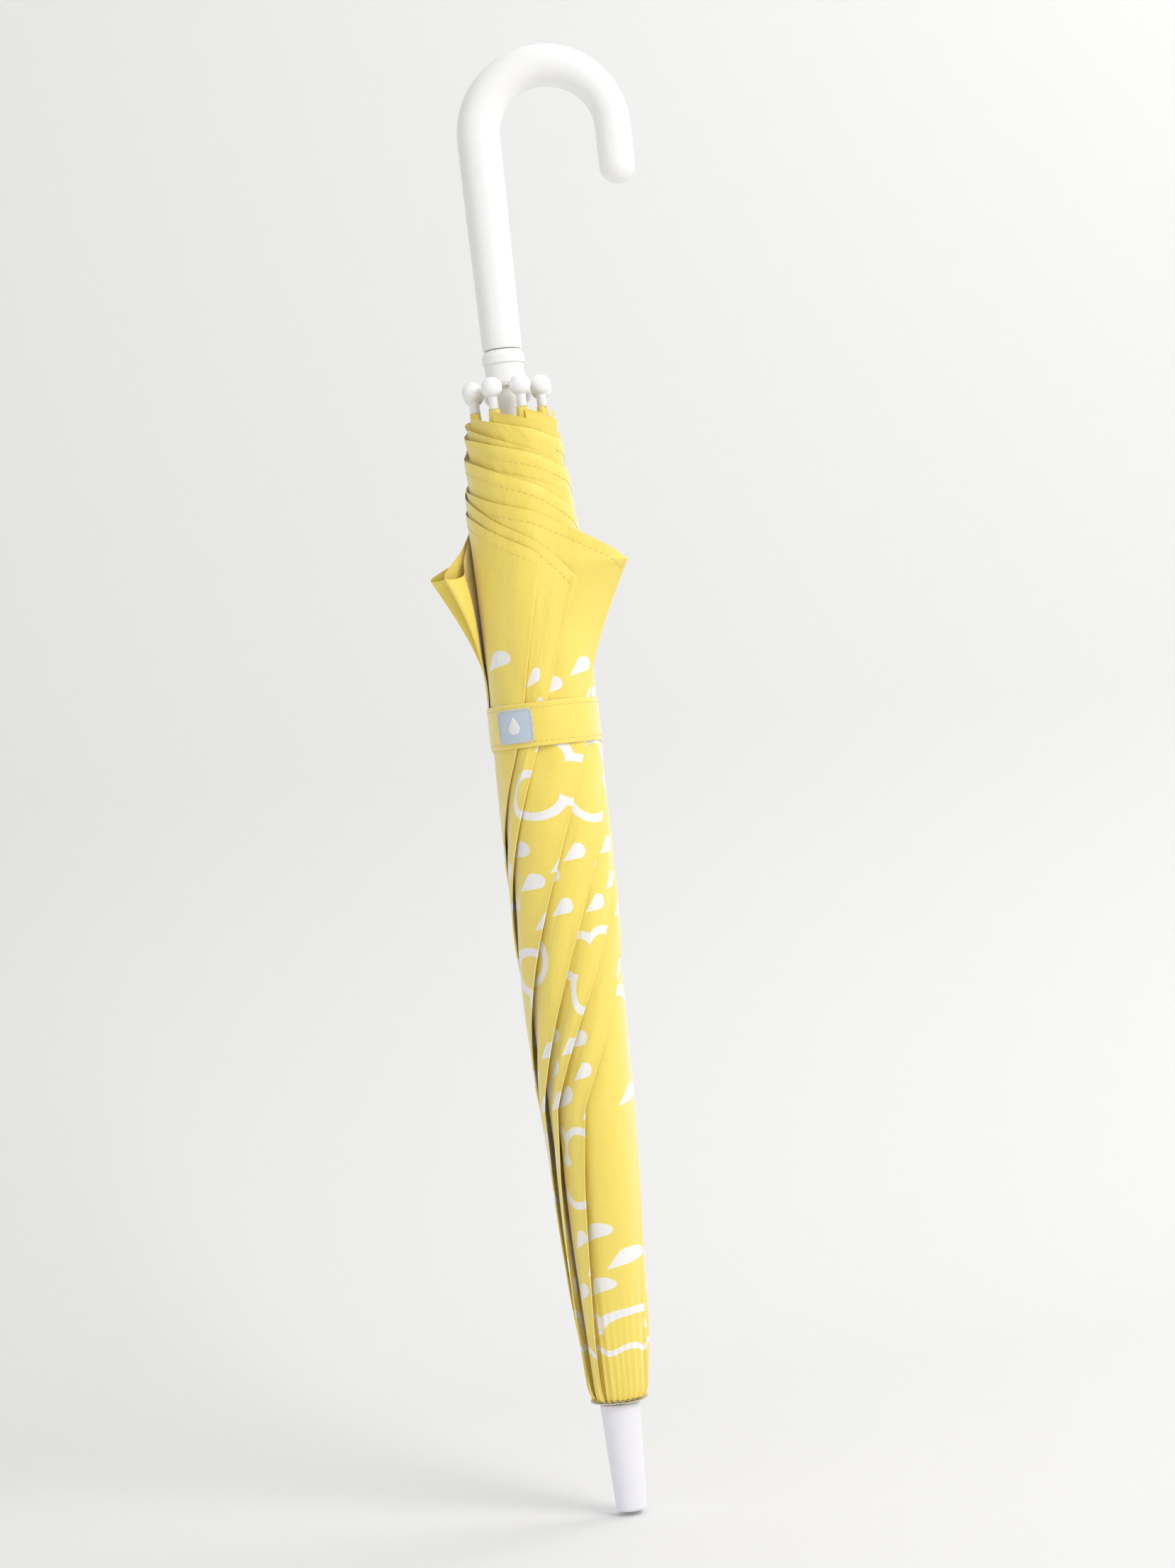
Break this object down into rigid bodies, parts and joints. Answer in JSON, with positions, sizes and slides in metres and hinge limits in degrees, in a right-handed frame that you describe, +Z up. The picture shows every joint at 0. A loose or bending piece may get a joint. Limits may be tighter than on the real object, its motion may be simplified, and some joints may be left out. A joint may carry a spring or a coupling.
{
  "type": "children's stick umbrella",
  "caption": "Furled child's stick umbrella: crook handle, runner, folding ribs with ball tips, pleated canopy wrapped and held by a strap, and a ferrule.",
  "frame": {"origin": "centre of the ferrule's flat end face, on the shaft's axis", "axes": "+Z up the shaft from the ferrule to the handle, +X towards the side the crook opens to, +Y away from the viewer"},
  "size_m": [0.1067, 0.0544, 0.65],
  "materials": {
    "handle_plastic": "satin moulded white",
    "white_plastic": "smooth moulded white",
    "tip_plastic": "glossy moulded white",
    "ferrule_plastic": "satin moulded white, slightly cool",
    "washer_film": "thin translucent film with a pinked edge",
    "canopy_fabric": "thin woven polyester, soft sheen, printed in white",
    "label_fabric": "woven label",
    "pad_fabric": "hook and loop tape",
    "white_steel": "white lacquered steel",
    "bright_steel": "plated steel"
  },
  "bodies": {
    "frame": {"shaft": "bright_steel", "ferrule": "ferrule_plastic", "crown_washer": "washer_film", "top_notch": "white_plastic", "notch_wire": "bright_steel", "stop_pin": "bright_steel", "handle": "handle_plastic"},
    "runner": {"runner": "white_plastic"},
    "closed_catch": {"closed_catch": "bright_steel"},
    "open_catch": {"open_catch": "bright_steel"},
    "rib_1": {"rib_1": "white_steel", "rib_rivet_1": "bright_steel", "ball_tip_1": "tip_plastic"},
    "stretcher_1": {"stretcher_1": "white_steel"},
    "gore_1": {"gore_1": "canopy_fabric"},
    "rib_2": {"rib_2": "white_steel", "rib_rivet_2": "bright_steel", "ball_tip_2": "tip_plastic"},
    "stretcher_2": {"stretcher_2": "white_steel"},
    "gore_2": {"gore_2": "canopy_fabric"},
    "rib_3": {"rib_3": "white_steel", "rib_rivet_3": "bright_steel", "ball_tip_3": "tip_plastic"},
    "stretcher_3": {"stretcher_3": "white_steel"},
    "gore_3": {"gore_3": "canopy_fabric"},
    "rib_4": {"rib_4": "white_steel", "rib_rivet_4": "bright_steel", "ball_tip_4": "tip_plastic"},
    "stretcher_4": {"stretcher_4": "white_steel"},
    "gore_4": {"gore_4": "canopy_fabric"},
    "rib_5": {"rib_5": "white_steel", "rib_rivet_5": "bright_steel", "ball_tip_5": "tip_plastic"},
    "stretcher_5": {"stretcher_5": "white_steel"},
    "gore_5": {"gore_5": "canopy_fabric"},
    "rib_6": {"rib_6": "white_steel", "rib_rivet_6": "bright_steel", "ball_tip_6": "tip_plastic", "strap": "canopy_fabric", "strap_loop_pad": "pad_fabric", "strap_hook_pad": "pad_fabric", "strap_label": "label_fabric"},
    "stretcher_6": {"stretcher_6": "white_steel"},
    "gore_6": {"gore_6": "canopy_fabric"},
    "rib_7": {"rib_7": "white_steel", "rib_rivet_7": "bright_steel", "ball_tip_7": "tip_plastic"},
    "stretcher_7": {"stretcher_7": "white_steel"},
    "gore_7": {"gore_7": "canopy_fabric"},
    "rib_8": {"rib_8": "white_steel", "rib_rivet_8": "bright_steel", "ball_tip_8": "tip_plastic"},
    "stretcher_8": {"stretcher_8": "white_steel"},
    "gore_8": {"gore_8": "canopy_fabric"}
  },
  "joints": [
    {"name": "runner_slide", "type": "slide", "parent": "frame", "child": "runner", "axis": [0, 0, -1], "range_m": [0, 0.23088], "deforming": ["gore_1", "gore_2", "gore_3", "gore_4", "gore_5", "gore_6", "gore_7", "gore_8", "strap", "strap_loop_pad", "strap_hook_pad", "strap_label", "closed_catch", "open_catch"]},
    {"name": "rib_1_hinge", "type": "hinge", "parent": "frame", "child": "rib_1", "pos_m": [0.00647, 0.00268, 0.057], "axis": [-0.3827, 0.9239, 0], "range_deg": [0, 66.79]},
    {"name": "rib_2_hinge", "type": "hinge", "parent": "frame", "child": "rib_2", "pos_m": [0.00268, 0.00647, 0.057], "axis": [-0.9239, 0.3827, 0], "range_deg": [0, 66.79]},
    {"name": "rib_3_hinge", "type": "hinge", "parent": "frame", "child": "rib_3", "pos_m": [-0.00268, 0.00647, 0.057], "axis": [-0.9239, -0.3827, 0], "range_deg": [0, 66.79]},
    {"name": "rib_4_hinge", "type": "hinge", "parent": "frame", "child": "rib_4", "pos_m": [-0.00647, 0.00268, 0.057], "axis": [-0.3827, -0.9239, 0], "range_deg": [0, 66.79]},
    {"name": "rib_5_hinge", "type": "hinge", "parent": "frame", "child": "rib_5", "pos_m": [-0.00647, -0.00268, 0.057], "axis": [0.3827, -0.9239, 0], "range_deg": [0, 66.79]},
    {"name": "rib_6_hinge", "type": "hinge", "parent": "frame", "child": "rib_6", "pos_m": [-0.00268, -0.00647, 0.057], "axis": [0.9239, -0.3827, 0], "range_deg": [0, 66.79]},
    {"name": "rib_7_hinge", "type": "hinge", "parent": "frame", "child": "rib_7", "pos_m": [0.00268, -0.00647, 0.057], "axis": [0.9239, 0.3827, 0], "range_deg": [0, 66.79]},
    {"name": "rib_8_hinge", "type": "hinge", "parent": "frame", "child": "rib_8", "pos_m": [0.00647, -0.00268, 0.057], "axis": [0.3827, 0.9239, 0], "range_deg": [0, 66.79]},
    {"name": "stretcher_1_hinge", "type": "hinge", "parent": "rib_1", "child": "stretcher_1", "pos_m": [0.00737, 0.00305, 0.24602], "axis": [-0.3827, 0.9239, 0], "range_deg": [-133.59, 0]},
    {"name": "stretcher_2_hinge", "type": "hinge", "parent": "rib_2", "child": "stretcher_2", "pos_m": [0.00305, 0.00737, 0.24602], "axis": [-0.9239, 0.3827, 0], "range_deg": [-133.59, 0]},
    {"name": "stretcher_3_hinge", "type": "hinge", "parent": "rib_3", "child": "stretcher_3", "pos_m": [-0.00305, 0.00737, 0.24602], "axis": [-0.9239, -0.3827, 0], "range_deg": [-133.59, 0]},
    {"name": "stretcher_4_hinge", "type": "hinge", "parent": "rib_4", "child": "stretcher_4", "pos_m": [-0.00737, 0.00305, 0.24602], "axis": [-0.3827, -0.9239, 0], "range_deg": [-133.59, 0]},
    {"name": "stretcher_5_hinge", "type": "hinge", "parent": "rib_5", "child": "stretcher_5", "pos_m": [-0.00737, -0.00305, 0.24602], "axis": [0.3827, -0.9239, 0], "range_deg": [-133.59, 0]},
    {"name": "stretcher_6_hinge", "type": "hinge", "parent": "rib_6", "child": "stretcher_6", "pos_m": [-0.00305, -0.00737, 0.24602], "axis": [0.9239, -0.3827, 0], "range_deg": [-133.59, 0]},
    {"name": "stretcher_7_hinge", "type": "hinge", "parent": "rib_7", "child": "stretcher_7", "pos_m": [0.00305, -0.00737, 0.24602], "axis": [0.9239, 0.3827, 0], "range_deg": [-133.59, 0]},
    {"name": "stretcher_8_hinge", "type": "hinge", "parent": "rib_8", "child": "stretcher_8", "pos_m": [0.00737, -0.00305, 0.24602], "axis": [0.3827, 0.9239, 0], "range_deg": [-133.59, 0]},
    {"name": "gore_1_spread", "type": "hinge", "parent": "rib_1", "child": "gore_1", "pos_m": [0.00632, 0.00262, 0.04945], "axis": [-0.8541, -0.5197, 0.0208], "range_deg": [0, 41.56]},
    {"name": "gore_2_spread", "type": "hinge", "parent": "rib_2", "child": "gore_2", "pos_m": [0.00262, 0.00632, 0.04945], "axis": [-0.2364, -0.9714, 0.0208], "range_deg": [0, 41.56]},
    {"name": "gore_3_spread", "type": "hinge", "parent": "rib_3", "child": "gore_3", "pos_m": [-0.00262, 0.00632, 0.04945], "axis": [0.5197, -0.8541, 0.0208], "range_deg": [0, 41.56]},
    {"name": "gore_4_spread", "type": "hinge", "parent": "rib_4", "child": "gore_4", "pos_m": [-0.00632, 0.00262, 0.04945], "axis": [0.9714, -0.2364, 0.0208], "range_deg": [0, 41.56]},
    {"name": "gore_5_spread", "type": "hinge", "parent": "rib_5", "child": "gore_5", "pos_m": [-0.00632, -0.00262, 0.04945], "axis": [0.8541, 0.5197, 0.0208], "range_deg": [0, 41.56]},
    {"name": "gore_6_spread", "type": "hinge", "parent": "rib_6", "child": "gore_6", "pos_m": [-0.00262, -0.00632, 0.04945], "axis": [0.2364, 0.9714, 0.0208], "range_deg": [0, 41.56]},
    {"name": "gore_7_spread", "type": "hinge", "parent": "rib_7", "child": "gore_7", "pos_m": [0.00262, -0.00632, 0.04945], "axis": [-0.5197, 0.8541, 0.0208], "range_deg": [0, 41.56]},
    {"name": "gore_8_spread", "type": "hinge", "parent": "rib_8", "child": "gore_8", "pos_m": [0.00632, -0.00262, 0.04945], "axis": [-0.9714, 0.2364, 0.0208], "range_deg": [0, 41.56]},
    {"name": "closed_catch_press", "type": "hinge", "parent": "frame", "child": "closed_catch", "pos_m": [0, 0.0026, 0.4865], "axis": [1, 0, 0], "range_deg": [0, 8.5], "stiffness_Nm_per_rad": 0.25},
    {"name": "open_catch_press", "type": "hinge", "parent": "frame", "child": "open_catch", "pos_m": [0, 0.0026, 0.31062], "axis": [-1, 0, 0], "range_deg": [0, 6], "stiffness_Nm_per_rad": 0.25}
  ],
  "couplings": [
    {"joint": "rib_1_hinge", "follows": "runner_slide", "rad_per_m": 5.0493},
    {"joint": "rib_2_hinge", "follows": "runner_slide", "rad_per_m": 5.0493},
    {"joint": "rib_3_hinge", "follows": "runner_slide", "rad_per_m": 5.0493},
    {"joint": "rib_4_hinge", "follows": "runner_slide", "rad_per_m": 5.0493},
    {"joint": "rib_5_hinge", "follows": "runner_slide", "rad_per_m": 5.0493},
    {"joint": "rib_6_hinge", "follows": "runner_slide", "rad_per_m": 5.0493},
    {"joint": "rib_7_hinge", "follows": "runner_slide", "rad_per_m": 5.0493},
    {"joint": "rib_8_hinge", "follows": "runner_slide", "rad_per_m": 5.0493},
    {"joint": "stretcher_1_hinge", "follows": "runner_slide", "rad_per_m": -10.099},
    {"joint": "stretcher_2_hinge", "follows": "runner_slide", "rad_per_m": -10.099},
    {"joint": "stretcher_3_hinge", "follows": "runner_slide", "rad_per_m": -10.099},
    {"joint": "stretcher_4_hinge", "follows": "runner_slide", "rad_per_m": -10.099},
    {"joint": "stretcher_5_hinge", "follows": "runner_slide", "rad_per_m": -10.099},
    {"joint": "stretcher_6_hinge", "follows": "runner_slide", "rad_per_m": -10.099},
    {"joint": "stretcher_7_hinge", "follows": "runner_slide", "rad_per_m": -10.099},
    {"joint": "stretcher_8_hinge", "follows": "runner_slide", "rad_per_m": -10.099},
    {"joint": "gore_1_spread", "follows": "runner_slide", "rad_per_m": 3.1421},
    {"joint": "gore_2_spread", "follows": "runner_slide", "rad_per_m": 3.1421},
    {"joint": "gore_3_spread", "follows": "runner_slide", "rad_per_m": 3.1421},
    {"joint": "gore_4_spread", "follows": "runner_slide", "rad_per_m": 3.1421},
    {"joint": "gore_5_spread", "follows": "runner_slide", "rad_per_m": 3.1421},
    {"joint": "gore_6_spread", "follows": "runner_slide", "rad_per_m": 3.1421},
    {"joint": "gore_7_spread", "follows": "runner_slide", "rad_per_m": 3.1421},
    {"joint": "gore_8_spread", "follows": "runner_slide", "rad_per_m": 3.1421}
  ]
}
